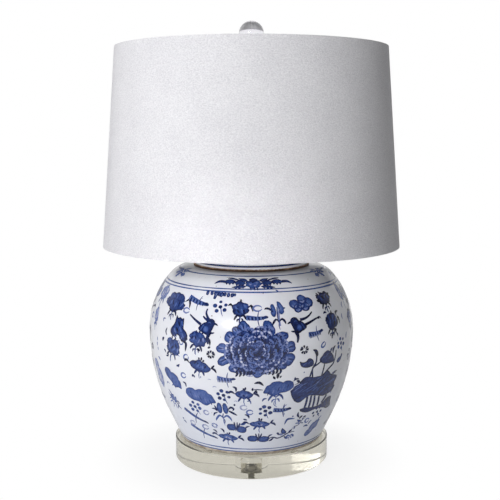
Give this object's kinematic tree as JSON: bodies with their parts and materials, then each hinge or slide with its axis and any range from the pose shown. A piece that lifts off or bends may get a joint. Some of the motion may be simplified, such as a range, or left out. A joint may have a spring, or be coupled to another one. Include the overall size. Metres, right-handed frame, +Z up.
{
  "type": "ginger jar table lamp",
  "caption": "Ginger jar table lamp: lidded white and blue porcelain jar on a thick clear disc, drum shade on a harp, ball finial.",
  "frame": {"origin": "on the table, under the lamp's axis", "axes": "+Z up the lamp's axis; the front, with the switch knob, faces -Y; the cord outlet is at +Y"},
  "size_m": [0.4571, 0.4572, 0.679],
  "materials": {
    "clear_acrylic": "polished, clear",
    "clear_rubber": "soft, translucent",
    "porcelain": "white glaze with cobalt painting",
    "steel": "zinc plated",
    "nickel": "satin nickel plated",
    "brass": "plain",
    "black_plastic": "moulded",
    "socket_moulding": "moulded",
    "paper_liner": "fibre",
    "frosted_glass": "frosted",
    "lamp_cap_metal": "satin",
    "black_glass": "vitrified",
    "solder": "dull",
    "shade_cloth": "off-white crepe weave",
    "shade_backing": "smooth white sheet",
    "white_wire": "white enamel",
    "crystal": "polished clear"
  },
  "bodies": {
    "stand": {"base_disc": "clear_acrylic", "base_pads": "clear_rubber", "base_washer": "steel", "base_lock_washer": "steel", "base_nut": "steel", "jar_seat_ring": "clear_rubber", "jar": "porcelain", "cord_grommet": "black_plastic", "jar_lid": "porcelain", "lamp_rod": "steel", "vase_cap": "nickel", "neck_tube": "nickel", "harp_saddle": "nickel", "saddle_nut": "steel", "socket_cap": "nickel", "socket_set_screw": "steel", "socket_shell": "nickel", "socket_liner": "paper_liner", "socket_body": "socket_moulding", "socket_screw_shell": "brass", "socket_terminal_screws": "brass", "socket_centre_contact": "brass"},
    "switch": {"switch_shaft": "steel", "switch_knob": "black_plastic"},
    "bulb_tip": {"bulb_tip_contact": "solder"},
    "bulb": {"bulb_glass": "frosted_glass", "bulb_screw_cap": "lamp_cap_metal", "bulb_insulator": "black_glass"},
    "harp": {"harp_bow": "nickel", "harp_stud": "nickel"},
    "ferrule_left": {"harp_ferrule_left": "nickel"},
    "ferrule_right": {"harp_ferrule_right": "nickel"},
    "shade": {"shade_cover": "shade_cloth", "shade_liner": "shade_backing", "shade_top_ring": "white_wire", "shade_bottom_ring": "white_wire", "shade_top_binding": "shade_cloth", "shade_bottom_binding": "shade_cloth", "shade_spider": "white_wire"},
    "finial_thread": {"finial_insert": "brass"},
    "finial": {"finial_base": "nickel", "finial_ball": "crystal"}
  },
  "joints": [
    {"name": "switch_turn", "type": "hinge", "parent": "stand", "child": "switch", "pos_m": [0, 0, 0.39863], "axis": [0, -1, 0], "continuous": true},
    {"name": "bulb_rise", "type": "slide", "parent": "stand", "child": "bulb_tip", "axis": [0, 0, 1], "range_m": [0, 0.01089]},
    {"name": "bulb_unscrew", "type": "hinge", "parent": "bulb_tip", "child": "bulb", "pos_m": [0, 0, 0.40623], "axis": [0, 0, 1], "range_deg": [0, 1080]},
    {"name": "harp_lift", "type": "slide", "parent": "stand", "child": "harp", "axis": [0, 0, 1], "range_m": [0, 0.03]},
    {"name": "ferrule_left_slide", "type": "slide", "parent": "harp", "child": "ferrule_left", "axis": [0, 0, 1], "range_m": [0, 0.014]},
    {"name": "ferrule_right_slide", "type": "slide", "parent": "harp", "child": "ferrule_right", "axis": [0, 0, 1], "range_m": [0, 0.014]},
    {"name": "shade_turn", "type": "hinge", "parent": "harp", "child": "shade", "pos_m": [0, 0, 0.62663], "axis": [0, 0, 1], "continuous": true},
    {"name": "finial_rise", "type": "slide", "parent": "harp", "child": "finial_thread", "axis": [0, 0, 1], "range_m": [0, 0.00752]},
    {"name": "finial_unscrew", "type": "hinge", "parent": "finial_thread", "child": "finial", "pos_m": [0, 0, 0.62843], "axis": [0, 0, 1], "range_deg": [0, 2880]}
  ],
  "couplings": [
    {"joint": "bulb_unscrew", "follows": "bulb_rise", "rad_per_m": 1731.6},
    {"joint": "finial_unscrew", "follows": "finial_rise", "rad_per_m": 6679}
  ]
}
